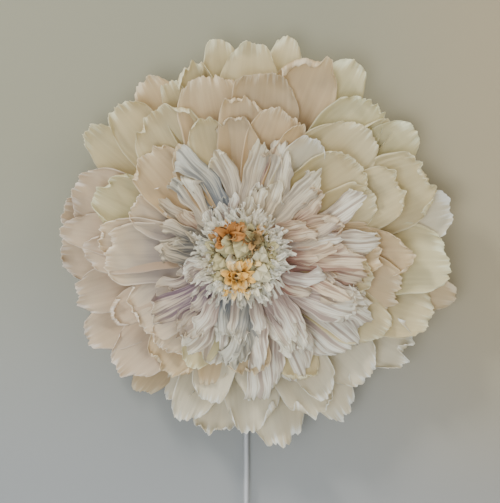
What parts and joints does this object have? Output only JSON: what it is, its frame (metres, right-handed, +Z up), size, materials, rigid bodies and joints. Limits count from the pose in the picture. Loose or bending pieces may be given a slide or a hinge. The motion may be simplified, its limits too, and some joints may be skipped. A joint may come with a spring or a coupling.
{
  "type": "giant paper flower wall lamp",
  "caption": "Large double flower of crepe paper petals on a round wall disc, with a fringed heart and a white mains lead hanging below it.",
  "frame": {"origin": "centre of the backing disc's back face, on the wall", "axes": "+Z up along the wall, +X to the right seen from the front, the flower faces -Y"},
  "size_m": [0.5255, 0.1119, 0.8099],
  "materials": {
    "outer_petals": "ivory and olive crepe paper, matt, ribbed",
    "middle_petals": "ivory and peach crepe paper, matt, ribbed",
    "inner_petals": "pale grey and peach crepe paper, matt, ribbed",
    "crepe_frill": "white crepe streaked with blue grey and mauve",
    "stamen_fringe": "cream fringed crepe",
    "rust_tuft": "rust brown curled crepe",
    "amber_tuft": "amber curled crepe",
    "carpels": "pale green crepe",
    "heart_pad": "olive felt",
    "core_foam": "rigid foam",
    "plywood": "bare birch plywood",
    "hanger_steel": "zinc plated",
    "lamp_board": "white lamp board",
    "cord_sheath": "white flexible sheath",
    "cord_tie": "white strap",
    "white_plastic": "white moulded plastic"
  },
  "bodies": {
    "root": {"backing_disc": "plywood", "carpel_1": "carpels", "carpel_2": "carpels", "carpel_3": "carpels", "cord_coil": "cord_sheath", "cord_tie": "cord_tie", "hanger_screw_1": "hanger_steel", "hanger_screw_2": "hanger_steel", "heart_pad": "heart_pad", "inner_petal_01": "inner_petals", "inner_petal_02": "inner_petals", "inner_petal_03": "inner_petals", "inner_petal_04": "inner_petals", "inner_petal_05": "inner_petals", "inner_petal_06": "inner_petals", "inner_petal_07": "inner_petals", "inner_petal_08": "inner_petals", "inner_petal_09": "inner_petals", "inner_petal_10": "inner_petals", "lamp_board": "lamp_board", "lamp_cord": "cord_sheath", "lower_frill": "crepe_frill", "lower_tuft": "amber_tuft", "middle_petal_01": "middle_petals", "middle_petal_02": "middle_petals", "middle_petal_03": "middle_petals", "middle_petal_04": "middle_petals", "middle_petal_05": "middle_petals", "middle_petal_06": "middle_petals", "middle_petal_07": "middle_petals", "middle_petal_08": "middle_petals", "middle_petal_09": "middle_petals", "middle_petal_10": "middle_petals", "middle_petal_11": "middle_petals", "middle_petal_12": "middle_petals", "middle_petal_13": "middle_petals", "middle_petal_14": "middle_petals", "outer_petal_01": "outer_petals", "outer_petal_02": "outer_petals", "outer_petal_03": "outer_petals", "outer_petal_04": "outer_petals", "outer_petal_05": "outer_petals", "outer_petal_06": "outer_petals", "outer_petal_07": "outer_petals", "outer_petal_08": "outer_petals", "outer_petal_09": "outer_petals", "outer_petal_10": "outer_petals", "outer_petal_11": "outer_petals", "outer_petal_12": "outer_petals", "outer_petal_13": "outer_petals", "outer_petal_14": "outer_petals", "outer_petal_15": "outer_petals", "petal_core": "core_foam", "plug": "white_plastic", "side_tuft": "rust_tuft", "stamen_fringe": "stamen_fringe", "strain_relief": "white_plastic", "upper_frill": "crepe_frill", "upper_tuft": "rust_tuft", "wall_hanger": "hanger_steel"}
  },
  "joints": []
}
